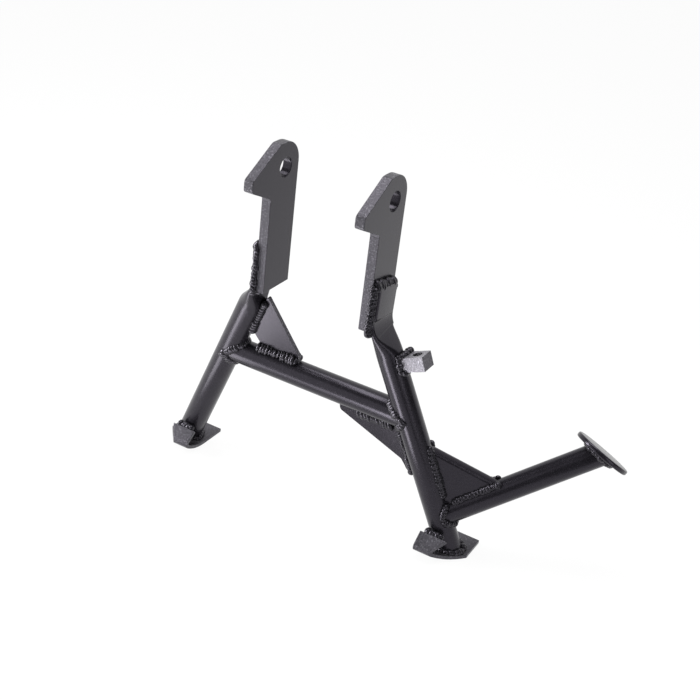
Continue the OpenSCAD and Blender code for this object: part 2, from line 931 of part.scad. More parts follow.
// The seam at the flange's edge: how far it reaches, its set-in, its height and its radius.
flange_seam_l = 17;
flange_seam_in = 3;
flange_seam_up = 1;
flange_seam_r = weld_r + 0.6;

// The seam round the leg on the foot plate, and the one at the flange's edge.
module foot_weld() {
    lip = foot_line(foot_t / 2);
    edge = lip[len(lip) - 1];
    ring = seam_rings(foot_leg, -leg_dir, [0, 0, 1], 0, leg_r, 0, 360);
    skin([for (section = ring) [for (p = section) on_sole(p)]], true);
    difference() {
        seam(
            [foot_leg.x - flange_seam_l, edge.x + flange_seam_in, edge.y + flange_seam_up],
            [foot_leg.x - flange_seam_in, edge.x + flange_seam_in, edge.y + flange_seam_up],
            flange_seam_r
        );
        round_leg();
        foot_plate();
    }
}

// The leg's side beside the spring block, at a place across and along the block.
function block_leg_x(v, w) =
    let (off = v - block_front + w * leg_dir.y)
    sqrt(max(0, pow(leg_r + block_gap, 2) - off * off)) - block_l;

// Section of the seam over the block's end on the leg: the corner, then a fillet.
// A stop holds the corner's place across and along the block, and the way out of it.
function block_section(stop, size) =
    let (corner = [block_leg_x(stop[0], stop[1]), stop[0], stop[1]])
    let (out = [stop[2], stop[3]] * size)
    let (far = [stop[0], stop[1]] + out)
    let (half = [stop[0], stop[1]] + out / 2)
    let (foot = [block_leg_x(far.x, far.y), far.x, far.y])
    concat([corner], [for (a = [0:22.5:90])
        corner + [size, 0, 0] * cos(a) + (foot - corner) * sin(a)],
        [[block_leg_x(half.x, half.y), half.x, half.y]]);

// The seam runs over the block, down its front and under it.
module spring_block_weld() {
    long = block_w - 1;
    low = -block_h - block_gap;
    side = cos(45);
    across = 2 * round(long / weld_pitch / 2) + 1;
    down = 2 * round(block_h / weld_pitch / 2) + 1;
    over = [for (k = [across:-1:1]) [block_gap + long * k / across, block_gap, 0, 1]];
    front = [for (k = [1:down - 1]) [-block_gap, -block_h * k / down, -1, 0]];
    under = [for (k = [1:across]) [block_gap + long * k / across, low, 0, -1]];
    stops = concat(
        over,
        [[block_turn, block_gap, 0, 1], [-block_gap, block_gap, -side, side]],
        front,
        [[-block_gap, low, -side, -side], [block_turn, low, 0, -1]],
        under
    );
    color(seam_steel)
        place(block_corner, block_out, [0, 1, 0], block_up)
            skin([for (k = [len(stops) - 1:-1:0])
                block_section(stops[k], weld_leg * (k % 2 == 0 ? 1 : 1 - weld_ripple))]);
}

left_pivot_plate();
right_pivot_plate();
left_leg_tube();
right_leg_tube();
cross_tube();
upper_gusset();
lower_gusset();
lever_tube();
lever_gusset();
foot_disc();
left_foot_plate();
right_foot_plate();
spring_hook_block();
left_plate_weld();
right_plate_weld();
left_plate_lower_weld();
right_plate_lower_weld();
cross_tube_left_weld();
cross_tube_right_weld();
upper_gusset_leg_weld();
upper_gusset_tube_weld();
lower_gusset_leg_weld();
lower_gusset_tube_weld();
lever_tube_weld();
lever_gusset_leg_weld();
lever_gusset_tube_weld();
foot_disc_weld();
left_foot_weld();
right_foot_weld();
spring_block_weld();
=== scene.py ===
"""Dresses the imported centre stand: coat, cut edges, pressed legs and rippled weld seams."""
import math

import bmesh
import bpy
import numpy as np
from bpy.props import FloatProperty, FloatVectorProperty, IntProperty, PointerProperty
from mathutils import Matrix, Quaternion, Vector


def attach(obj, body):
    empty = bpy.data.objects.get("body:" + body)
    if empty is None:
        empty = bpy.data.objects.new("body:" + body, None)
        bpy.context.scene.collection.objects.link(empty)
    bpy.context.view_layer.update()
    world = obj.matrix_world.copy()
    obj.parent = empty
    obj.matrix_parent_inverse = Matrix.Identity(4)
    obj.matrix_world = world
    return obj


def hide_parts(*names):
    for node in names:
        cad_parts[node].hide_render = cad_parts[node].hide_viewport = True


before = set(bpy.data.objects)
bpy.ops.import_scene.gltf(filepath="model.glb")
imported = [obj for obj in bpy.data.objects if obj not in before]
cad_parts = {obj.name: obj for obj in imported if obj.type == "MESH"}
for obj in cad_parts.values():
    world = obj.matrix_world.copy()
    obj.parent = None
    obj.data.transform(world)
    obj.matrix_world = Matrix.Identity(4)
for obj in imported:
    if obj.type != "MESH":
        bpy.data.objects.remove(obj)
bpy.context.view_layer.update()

bl_info = {
    "name": "Centre stand",
    "version": (1, 0, 0),
    "blender": (4, 5, 0),
    "location": "View3D > Sidebar > Stand",
    "description": "Coats, creases and welds a motorcycle centre stand around its packed frame",
    "category": "Object",
}

MM = 0.001
BODY = "root"

# Sizes of the frame in millimetres: plates, legs, cross tube.
PLATE_OUT = 64.0
PLATE_DROP = 126.0
# Faces nearer to the pivot axis than this belong to the bore.
BORE_REACH = 11.0
LEG_R = 13.45
LEG_WALL = 2.6
SPLAY = math.radians(22.6)
LEAN = math.radians(6.3)
STAND_DROP = 362.0
FLAT_T = 7.0
FLAT_DROP = 82.0
FLAT_TILT = math.radians(3)
FLAT_SLOPE = math.radians(7.4)
BEND_DROP = 122.0
BEND_Y = -3.3
BEND_SOFT = 7.0
PRESS_START = 5.0
PRESS_RUN = 31.0
CROSS_DROP = 217.3
SHEET_T = 4.7
UPPER_GUSSET_H = 78.0
LOWER_GUSSET_H = 50.3
# Sides of the solid leg's section, whose flats lie on the plate.
PRESS_SIDES = 40

# Lever, disc and gusset over the lever.
LEVER_R = 12.5
LEVER_L = 175.0
LEVER_ROOT = 39.0
LEVER_TURN = math.radians(24)
LEVER_RISE = math.radians(35.3)
DISC_TURN = math.radians(54)
DISC_RISE = math.radians(52.7)
FOLD_H = 75.0
FOLD_L = 72.0
FOLD_W = 12.0

# Foot plates and the spring block.
FOOT_T = 4.0
CURVE_R = 58.0
CURVE_Y = 20.0
TOE_Y = -11.9
FOLD_RISE = math.radians(37)
FLANGE_L = 14.0
FLANGE_R = 3.5
BLOCK = (38.0, 18.8, 14.7)
BLOCK_RUN = 36.0
BLOCK_FRONT = 6.8

# The valley that the press left in a leg's outer face, under the slanted crease of its bend:
# its place along the leg, its slant, its depth, and its reach up and down.
VALLEY_AT = 2.0
VALLEY_SLANT = 0.5
VALLEY_DEEP = 1.8
VALLEY_RUN = (1.6, 13.0)

# Rings of a leg: three at its cut top, close ones round the bend and wider ones elsewhere.
TOP_RINGS = 3
TOP_STEP = 0.4
TOP_RUN = 4.0
CLOSE_FROM = -10.0
CLOSE_TO = 14.0
CLOSE_STEP = 0.5
WIDE_STEP = 2.0
ROUND_RUN = 20.0

# Radius of the broken edges in metres: sheet and block, folded gusset, thin disc.
SHEET_EDGE = 0.0005
FOLD_EDGE = 0.0004
DISC_EDGE = 0.0003

# Seams in millimetres: half widths of their ripples, and how far a line stands off its sheet.
TUBE_BEAD = 3.5
PLATE_BEAD = 3.9
LOWER_PLATE_BEAD = 4.1
CROSS_BEAD = (4.8, 3.2)
SHEET_BEAD = 5.6
BLOCK_BEAD = 3.6
FOLD_BEAD_H = 3.0
SHEET_OFF = 1.1

# Ripples: how far one strays in millimetres, its length in pitches and the spread of its size.
STRAY = 0.45
RIPPLE_LENGTH = 1.05
SHORT_RIPPLE = 0.0026
RIPPLE_SPREAD = 0.2
LEAN_SPREAD = (0.7, 1.3)
SWAY = 0.22
LENGTH_SPREAD = (0.85, 1.15)

# The camera, solved from the photograph's own edges.
CAMERA_AT = (0.49131, -0.89833, 0.38716)
CAMERA_TURN = (1.9884, 0.6066, -0.2108)
FOCAL_PX = 1169.69
FRAME_PX = 700
SENSOR = 36.0

# The floor lies a hair under the soles. Lamps and cards on it lie a hair over it, in metres.
FLOOR_HALF = 12.0
FLOOR_Z = -STAND_DROP * MM - 0.0004
CARD_Z = FLOOR_Z + 0.002
STRIP_Z = FLOOR_Z + 0.003

# Lamps: name, place, what it faces, width and height, watts, and turn about its own axis in degrees.
LAMPS = (
    ("left_box", (-1.0, -0.5, 0.1), (0.05, 0.0, 0.1), (0.25, 0.9), 26, 0.0),
    ("top_box", (-0.2, 0.05, 1.3), (-0.2, 0.051, 0.0), (1.2, 0.9), 24, 0.0),
    ("right_box", (1.05, -0.6, 0.0), (0.12, 0.0, 0.0), (0.14, 0.7), 5, 0.0),
    ("low_box", (-0.13, -0.25, CARD_Z), (-0.13, -0.251, 1), (0.42, 0.15), 0.7, 0.0),
    ("right_strip", (-0.015, -0.27, STRIP_Z), (-0.015, -0.27 - 0.001, 1), (0.07, 0.36), 0.75, 36.5),
    ("left_strip", (-0.265, -0.22, STRIP_Z), (-0.265, -0.22 - 0.001, 1), (0.09, 0.3), 0.45, 26.0),
)

# Black cards: name, place, what it faces, width and height.
CARDS = (
    ("front_flag", (0.50, -0.80, 0.55), (0.1, 0.0, 0.55), (1.3, 1.84)),
    ("high_flag", (-0.5, -0.9, 1.1), (0.1, 0.0, 0.0), (1.6, 1.0)),
    ("left_flag", (-1.55, 0.0, 1.32), (-1.55, 0.001, 0.0), (1.4, 1.8)),
    ("right_flag", (1.3, 0.15, 0.45), (0.1, 0.0, 0.45), (1.1, 1.6)),
    ("floor_flag", (0.8, -0.62, CARD_Z), (0.8, -0.621, 1), (0.8, 0.9)),
)


def vec(x, y, z):
    """A point or a direction as an array."""
    return np.array((x, y, z), float)


def unit(v):
    """The same direction with a length of 1."""
    return v / np.linalg.norm(v)


def direction(rise, turn):
    """A direction from its rise above the level and its turn from X to the rear."""
    return vec(math.cos(rise) * math.cos(turn), math.cos(rise) * math.sin(turn), math.sin(rise))


LEG_DIR = vec(math.sin(SPLAY), math.cos(SPLAY) * math.sin(LEAN), -math.cos(SPLAY) * math.cos(LEAN))
FLAT_DIR = vec(0, -math.sin(FLAT_TILT), -math.cos(FLAT_TILT))
FRAME_BACK = vec(0, math.cos(LEAN), math.sin(LEAN))
BLOCK_OUT = vec(math.cos(SPLAY), 0, math.sin(SPLAY))
BLOCK_UP = vec(-math.sin(SPLAY), 0, math.cos(SPLAY))
BEND = vec(PLATE_OUT + FLAT_T / 2 * math.cos(math.pi / PRESS_SIDES), BEND_Y, -BEND_DROP)
FLAT_HALF = math.pi / 4 * (2 * LEG_R - FLAT_T)
EDGE_HALF = FLAT_HALF + FLAT_T / 2
FLAT_TOP_Y = BEND_Y + (BEND_DROP - FLAT_DROP) * math.tan(FLAT_TILT)
PRESS_END = PRESS_START + PRESS_RUN
LEVER_DIR = direction(LEVER_RISE, LEVER_TURN)
DISC_DIR = direction(DISC_RISE, DISC_TURN)


def leg_at(drop):
    """The right leg's axis at a depth below the pivot axis."""
    return BEND + LEG_DIR * (BEND_DROP - drop) / LEG_DIR[2]


def frame_point(x, z):
    """A point of the legs' plane, from its place across and its height."""
    return vec(x, BEND_Y - (z + BEND_DROP) * math.tan(LEAN), z)


def leg_x(z):
    """How far out the right leg's axis lies at a height."""
    return BEND[0] - (z + BEND_DROP) / math.cos(LEAN) * math.tan(SPLAY)


def leg_in_x(z):
    """How far out the right leg's inner side lies at a height."""
    return leg_x(z) - LEG_R / math.cos(SPLAY)


LEVER_FOOT = leg_at(STAND_DROP - LEVER_ROOT)
LEVER_SIDE = unit(np.cross(LEVER_DIR, -LEG_DIR))
LEVER_UP = np.cross(LEVER_SIDE, LEVER_DIR)
LEVER_END = LEVER_FOOT + LEVER_DIR * LEVER_L
FOOT_LEG = leg_at(STAND_DROP - FOOT_T)


class Val:
    """A shader or geometry socket with arithmetic: each operator adds a Math node."""

    def __init__(self, tree, socket):
        self.tree = tree
        self.socket = socket

    def math(self, operation, *values, swap=False):
        values = (values[0], self) if swap else (self, *values)
        inputs = {i: v for i, v in enumerate(values)}
        return self.tree.add("ShaderNodeMath", {"operation": operation}, inputs)

    def __add__(self, other):
        return self.math("ADD", other)

    def __radd__(self, other):
        return self.math("ADD", other)

    def __sub__(self, other):
        return self.math("SUBTRACT", other)

    def __rsub__(self, other):
        return self.math("SUBTRACT", other, swap=True)

    def __mul__(self, other):
        return self.math("MULTIPLY", other)

    def __rmul__(self, other):
        return self.math("MULTIPLY", other)

    def above(self, limit, soft):
        """0 under a limit and 1 a soft step over it."""
        return self.tree.add(
            "ShaderNodeMapRange", {"interpolation_type": "SMOOTHSTEP"},
            {"Value": self, "From Min": limit, "From Max": limit + soft},
        )


class Tree:
    """Adds nodes to a tree: a type, its settings, then the values or links of its sockets."""

    def __init__(self, nodes):
        self.nodes = nodes.nodes
        self.links = nodes.links

    def make(self, kind, settings=None, inputs=None):
        node = self.nodes.new(kind)
        for name, value in (settings or {}).items():
            setattr(node, name, value)
        for name, value in (inputs or {}).items():
            if isinstance(value, Val):
                self.links.new(value.socket, node.inputs[name])
            else:
                node.inputs[name].default_value = value
        return node

    def add(self, kind, settings=None, inputs=None, out=0):
        return Val(self, self.make(kind, settings, inputs).outputs[out])

    def mix(self, factor, a, b):
        """Mixes two colours."""
        node = self.make("ShaderNodeMix", {"data_type": "RGBA"})
        for socket, value in ((0, factor), (6, a), (7, b)):
            if isinstance(value, Val):
                self.links.new(value.socket, node.inputs[socket])
            else:
                node.inputs[socket].default_value = value
        return Val(self, node.outputs[2])


class StandCoat(bpy.types.PropertyGroup):
    """Colours and gloss of the powder coat."""

    coat: FloatVectorProperty(
        name="Coat", description="Colour of the powder coat", subtype="COLOR", size=3,
        min=0, max=1, default=(0.0072, 0.0066, 0.0084),
    )
    cut: FloatVectorProperty(
        name="Cut edges", description="Colour over the grainy cut edges", subtype="COLOR", size=3,
        min=0, max=1, default=(0.034, 0.033, 0.037),
    )
    seam: FloatVectorProperty(
        name="Seams", description="Colour over the weld seams", subtype="COLOR", size=3,
        min=0, max=1, default=(0.008, 0.0078, 0.009),
    )
    # Painted light: a lighter colour for the spring block's front and top faces, in place of the
    # light that falls on them.
    painted_light: FloatVectorProperty(
        name="Spring block", description="Colour over the spring block", subtype="COLOR", size=3,
        min=0, max=1, default=(0.17, 0.166, 0.182),
    )
    gloss: FloatProperty(
        name="Roughness", description="Roughness of the coat on smooth steel", min=0, max=1,
        default=0.24,
    )


class StandForm(bpy.types.PropertyGroup):
    """Sizes of the details that the dressing adds."""

    edge: FloatProperty(
        name="Edge radius", description="Radius of the broken edges", subtype="DISTANCE",
        default=0.0006,
    )
    pitch: FloatProperty(
        name="Ripple pitch", description="Distance between two ripples of a seam",
        subtype="DISTANCE", default=0.0033,
    )
    tilt: FloatProperty(
        name="Ripple tilt", description="Lean of the ripples along a seam", subtype="ANGLE",
        default=math.radians(24),
    )
    seed: IntProperty(name="Seed", description="Seed of the hand-laid spread", default=7)


class StandStage(bpy.types.PropertyGroup):
    """Floor, lamps and surroundings."""

    floor: FloatVectorProperty(
        name="Floor", description="Colour of the floor", subtype="COLOR", size=3,
        min=0, max=1, default=(0.9, 0.9, 0.9),
    )
    surround: FloatProperty(
        name="Surround", description="Strength of the white surroundings as a light",
        default=0.55,
    )
    lamps: FloatProperty(name="Lamps", description="Strength of all lamps", default=1.0)


def new_material(name):
    """An empty node material and its tree."""
    material = bpy.data.materials.new(name)
    material.use_nodes = True
    material.node_tree.nodes.clear()
    return material, Tree(material.node_tree)


def coated(name, colour, roughness, peel, grain, streak=0.0, bumps=0.35):
    """A satin powder coat: orange peel, fine grain, a little mottling and a cut edge's streaks."""
    material, t = new_material(name)
    place = t.add("ShaderNodeTexCoord", out=3)
    broad = t.add("ShaderNodeTexNoise", inputs={"Vector": place, "Scale": 55.0, "Detail": 3.0})
    fine = t.add("ShaderNodeTexNoise", inputs={
        "Vector": place, "Scale": 620.0, "Detail": 3.0, "Roughness": 0.6,
    })
    skin = t.add("ShaderNodeTexNoise", inputs={"Vector": place, "Scale": 420.0, "Detail": 2.0})
    speck = fine.above(0.56, 0.1)
    shade = 0.78 + broad * 0.44 + (fine - 0.5) * grain * 2.2
    black = (0.0, 0.0, 0.0, 1.0)
    bright = (*(min(1.0, 2.0 * c) for c in colour), 1.0)
    glint = (*(min(1.0, 3.2 * c + 0.01) for c in colour), 1.0)
    base = t.mix(shade * 0.5, black, bright)
    base = t.mix(speck * grain, base, glint)
    rough = roughness + (broad - 0.5) * 0.08 + (fine - 0.5) * 0.1 * (1 + grain)
    height = skin * peel + fine * (0.25 + grain)
    if streak:
        turned = t.add(
            "ShaderNodeMapping", inputs={"Vector": place, "Scale": (60.0, 700.0, 700.0)}
        )
        lines = t.add("ShaderNodeTexNoise", inputs={"Vector": turned, "Scale": 1.0, "Detail": 3.0})
        height = height + lines * streak
    bump = t.add(
        "ShaderNodeBump", inputs={"Strength": bumps, "Distance": 0.0003, "Height": height}
    )
    shader = t.make("ShaderNodeBsdfPrincipled", None, {
        "Base Color": base, "Roughness": rough, "Normal": bump,
        "Specular IOR Level": 0.33, "IOR": 1.5, "Specular Tint": (0.89, 0.82, 1.0, 1.0),
    })
    out = t.make("ShaderNodeOutputMaterial")
    t.links.new(shader.outputs[0], out.inputs["Surface"])
    return material


MATERIALS = {}


def stand_material(kind):
    """The stand's materials, made once from the coat's properties."""
    if not MATERIALS:
        c = bpy.context.scene.stand_coat
        MATERIALS["coat"] = coated("satin_coat", c.coat, c.gloss, 0.5, 0.12)
        MATERIALS["cut"] = coated(
            "coat_on_cut_edge", c.cut, c.gloss + 0.16, 0.4, 1.0, streak=0.9, bumps=0.8
        )
        MATERIALS["block"] = coated("coat_on_block", c.cut, c.gloss + 0.06, 0.4, 0.7)
        # Painted light: the spring block's front and top faces get this lighter coat in place of the
        # light that falls on them.
        MATERIALS["painted_light"] = coated("block_painted_light", c.painted_light, c.gloss + 0.1, 0.4, 0.8, bumps=0.8)
        MATERIALS["seam"] = coated("coat_on_seam", c.seam, c.gloss, 1.1, 0.35, bumps=0.8)
    return MATERIALS[kind]


def link(name, mesh, kinds=("coat",)):
    """An object at the origin that holds a mesh and its materials."""
    piece = bpy.data.objects.new(name, mesh)
    bpy.context.scene.collection.objects.link(piece)
    mesh.materials.clear()
    for kind in kinds:
        mesh.materials.append(stand_material(kind))
    return piece


def settle(piece, node):
    """The piece stands for its CAD node and rides on the one body."""
    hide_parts(node)
    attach(piece, BODY)
    return piece


def merged_copy(node):
    """A merged copy of a CAD node's mesh, with its flat faces joined up."""
    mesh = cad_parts[node].data.copy()
    bm = bmesh.new()
    bm.from_mesh(mesh)
    bmesh.ops.remove_doubles(bm, verts=bm.verts, dist=2e-6)
    bmesh.ops.dissolve_limit(
        bm, angle_limit=math.radians(0.4), verts=bm.verts, edges=bm.edges,
        use_dissolve_boundaries=False,
    )
    bm.to_mesh(mesh)
    bm.free()
    for name in [a.name for a in mesh.attributes if a.name.startswith("custom_normal")]:
        mesh.attributes.remove(mesh.attributes[name])
    return mesh


def baked(piece):
    """The piece with its modifiers made into plain mesh."""
    graph = bpy.context.evaluated_depsgraph_get()
    mesh = bpy.data.meshes.new_from_object(piece.evaluated_get(graph))
    old = piece.data
    piece.modifiers.clear()
    piece.data = mesh
    bpy.data.meshes.remove(old)
    return piece


def broken_edges(piece, radius):
    """Rounds the sharp edges of a piece a little."""
    for polygon in piece.data.polygons:
        polygon.use_smooth = True
    bevel = piece.modifiers.new("edges", "BEVEL")
    bevel.width = radius
    bevel.segments = 3
    bevel.limit_method = "ANGLE"
    bevel.angle_limit = math.radians(32)
    bevel.harden_normals = True
    bevel.miter_outer = "MITER_ARC"
    return baked(piece)


def cut_faces(piece, axis, bore):
    """Gives the faces along an axis the cut edge's material, but not those of the bore."""
    for polygon in piece.data.polygons:
        middle = Vector(polygon.center)
        from_axis = (middle - axis * middle.dot(axis)).length
        if abs(polygon.normal.dot(axis)) < 0.75 and from_axis > bore:
            polygon.material_index = 1


def paint_light_on_faces(piece, ways):
    """Gives the faces that look one of some ways the second material: painted light, a lighter
    colour in place of the light that falls on them.
    """
    for polygon in piece.data.polygons:
        if max(polygon.normal.dot(way) for way in ways) > 0.8:
            polygon.material_index = 1


def dress(node, kinds=("coat",), radius=None, axis=None, bore=0.0):
    """One CAD node with its edges broken and its cut faces told apart."""
    form = bpy.context.scene.stand_form
    piece = link(node + "_steel", merged_copy(node), kinds)
    broken_edges(piece, form.edge if radius is None else radius)
    if axis is not None:
        cut_faces(piece, Vector(axis), bore=bore)
    return settle(piece, node)


def skin_mesh(name, rings):
    """A mesh through closed rings of points and back to the first, its faces pointing outwards."""
    count, sides = len(rings), len(rings[0])
    points = [tuple(p * MM) for ring in rings for p in ring]
    faces = []
    for k in range(count):
        m = (k + 1) % count
        for i in range(sides):
            j = (i + 1) % sides
            faces.append((k * sides + i, k * sides + j, m * sides + j, m * sides + i))
    mesh = bpy.data.meshes.new(name)
    mesh.from_pydata(points, [], faces)
    bm = bmesh.new()
    bm.from_mesh(mesh)
    bmesh.ops.remove_doubles(bm, verts=bm.verts, dist=1e-7)
    bmesh.ops.recalc_face_normals(bm, faces=bm.faces)
    bm.to_mesh(mesh)
    bm.free()
    return mesh


def smooth(mesh, angle):
    """Smooth shading with the sharp edges kept."""
    mesh.shade_smooth()
    mesh.set_sharp_from_angle(angle=math.radians(angle))
    return mesh


def mirrored(mesh, name):
    """The same mesh for the left side."""
    copy = mesh.copy()
    copy.name = name
    copy.transform(Matrix.Diagonal((-1, 1, 1, 1)))
    copy.flip_normals()
    return copy


def leg_path(s):
    """The leg's centre line: straight up the plate, a soft bend, then down the leg."""
    if s <= -BEND_SOFT:
        return BEND + FLAT_DIR * s
    if s >= BEND_SOFT:
        return BEND + LEG_DIR * s
    u = (s + BEND_SOFT) / (2 * BEND_SOFT)
    return BEND + BEND_SOFT * (LEG_DIR * u * u - FLAT_DIR * (1 - u) ** 2)


def leg_tangent(s):
    """The centre line's direction."""
    u = min(1.0, max(0.0, (s + BEND_SOFT) / (2 * BEND_SOFT)))
    return unit(FLAT_DIR * (1 - u) + LEG_DIR * u)


def press_thickness(s):
    """The leg's thickness: pressed flat, then growing to its full diameter."""
    u = min(1.0, max(0.0, (s - PRESS_START) / PRESS_RUN))
    return FLAT_T + (2 * LEG_R - FLAT_T) * u * u * (3 - 2 * u)


def sole_rise(y):
    """How far the foot plate's upper side rises above its flat part."""
    r = CURVE_R - FOOT_T
    return r - math.sqrt(r * r - (CURVE_Y - y) ** 2) if y < CURVE_Y else 0.0


def valley(s, w):
    """How deep the press left the outer face under the slanted crease of the bend."""
    at = s - VALLEY_AT - w * VALLEY_SLANT
    run = VALLEY_RUN[0] if at < 0 else VALLEY_RUN[1]
    return VALLEY_DEEP * math.exp(-(at / run) ** 2)


def leg_ring(s, inset, sides=72):
    """One ring of the pressed tube, whose girth stays that of the round tube."""
    t = leg_tangent(s)
    wide = unit(vec(0, 1, 0) - t * t[1])
    thin = np.cross(t, wide)
    h = press_thickness(s)
    half_run = math.pi / 4 * (2 * LEG_R - h)
    r = h / 2 - inset
    slope = math.tan(FLAT_SLOPE - FLAT_TILT) if s <= -BEND_SOFT - 1 else 0.0
    ring = []
    for i in range(sides):
        a = (i + 0.5) * 2 * math.pi / sides
        w = r * math.cos(a) + math.copysign(half_run, math.cos(a))
        out = r * math.sin(a)
        if out > 0:
            out -= valley(s, w) * math.sin(a)
        ring.append(leg_path(s) + wide * w + t * (w * slope) + thin * out)
    return ring


def down_to_foot(ring):
    """The ring carried down the leg onto the foot plate."""
    out = []
    for p in ring:
        q = p + LEG_DIR * (FOOT_T - STAND_DROP - p[2]) / LEG_DIR[2]
        out.append(q + vec(0, 0, sole_rise(q[1]) + 0.06))
    return out


def leg_steps():
    """The places along the leg that get a ring, from its cut top down."""
    top = FLAT_DROP - BEND_DROP
    steps = [top + TOP_STEP * k for k in range(TOP_RINGS)]
    steps += list(np.arange(top + TOP_RUN, CLOSE_FROM, WIDE_STEP))
    steps += list(np.arange(CLOSE_FROM, CLOSE_TO, CLOSE_STEP))
    steps += list(np.arange(CLOSE_TO, PRESS_END + 0.1, WIDE_STEP))
    return [*steps, PRESS_END + ROUND_RUN]


def leg_mesh(name):
    """The right leg as one closed tube with its bore, from its pressed end to the foot plate."""
    steps = leg_steps()
    outer = [leg_ring(s, 0) for s in steps]
    inner = [leg_ring(s, LEG_WALL) for s in steps]
    outer.append(down_to_foot(outer[-1]))
    inner.append(down_to_foot(inner[-1]))
    return smooth(skin_mesh(name, outer + inner[::-1]), 50)


class Bead:
    """One run of weld: points, the way it faces, and the half width and height of its ripples.

    A width or a height is one number, or a pair that runs from the bead's start to its end.
    """

    def __init__(self, points, faces, width, height, closed=False):
        self.points = points
        self.faces = faces
        self.width = width
        self.height = height
        self.closed = closed

    def mirrored(self):
        """The same bead on the left side."""
        flip = vec(-1, 1, 1)
        return Bead(
            [p * flip for p in self.points], [f * flip for f in self.faces],
            self.width, self.height, self.closed,
        )


def run(a, b, face, width, height=None):
    """A straight bead."""
    face = unit(np.asarray(face, float))
    return Bead([a, b], [face, face], width, height or width)


def joint_bead(
    origin, branch, main, main_r, branch_r, start=0, end=360, width=TUBE_BEAD, height=None, lift=1.2
):
    """A bead round the end of a branch tube, on a main tube or a plane if main_r is 0."""
    side = main if main_r == 0 else unit(branch - main * (branch @ main))
    front = unit(np.cross(branch, main))
    points, faces = [], []
    count = 72
    closed = end - start >= 360
    for k in range(count if closed else count + 1):
        a = math.radians(start + (end - start) * k / count)
        radial = np.cross(front, branch) * math.cos(a) + front * math.sin(a)
        reach = math.sqrt(max(0.0, main_r ** 2 - (branch_r * math.sin(a)) ** 2)) if main_r else 0.0
        along = (reach - branch_r * (radial @ side)) / (branch @ side)
        corner = origin + branch * along + radial * branch_r
        rel = corner - origin
        normal = main if main_r == 0 else unit(rel - main * (rel @ main))
        face = unit(radial + normal)
        points.append(corner + face * lift)
        faces.append(face)
    return Bead(points, faces, width, height or width, closed)


def sizes_along(size, count):
    """A size in metres at each of a bead's points."""
    start, end = size if isinstance(size, tuple) else (size, size)
    return list(np.linspace(start, end, count) * MM)


def bead_mesh(name, beads):
    """The beads as polylines that carry how each ripple stands on them."""
    points, edges, faces, widths, heights = [], [], [], [], []
    for bead in beads:
        first = len(points)
        points += [tuple(p * MM) for p in bead.points]
        faces += [tuple(f) for f in bead.faces]
        widths += sizes_along(bead.width, len(bead.points))
        heights += sizes_along(bead.height, len(bead.points))
        edges += [(i, i + 1) for i in range(first, len(points) - 1)]
        if bead.closed:
            edges.append((len(points) - 1, first))
    mesh = bpy.data.meshes.new(name)
    mesh.from_pydata(points, edges, [])
    mesh.attributes.new("bead_face", "FLOAT_VECTOR", "POINT").data.foreach_set(
        "vector", [v for f in faces for v in f]
    )
    for key, sizes in (("bead_width", widths), ("bead_height", heights)):
        mesh.attributes.new(key, "FLOAT", "POINT").data.foreach_set("value", sizes)
    return mesh


# Inputs of the ripples' geometry tree.
RIPPLE_INPUTS = (
    ("Pitch", "NodeSocketFloat"), ("Length", "NodeSocketFloat"), ("Tilt", "NodeSocketFloat"),
    ("Spread", "NodeSocketFloat"), ("Seed", "NodeSocketInt"), ("Material", "NodeSocketMaterial"),
)


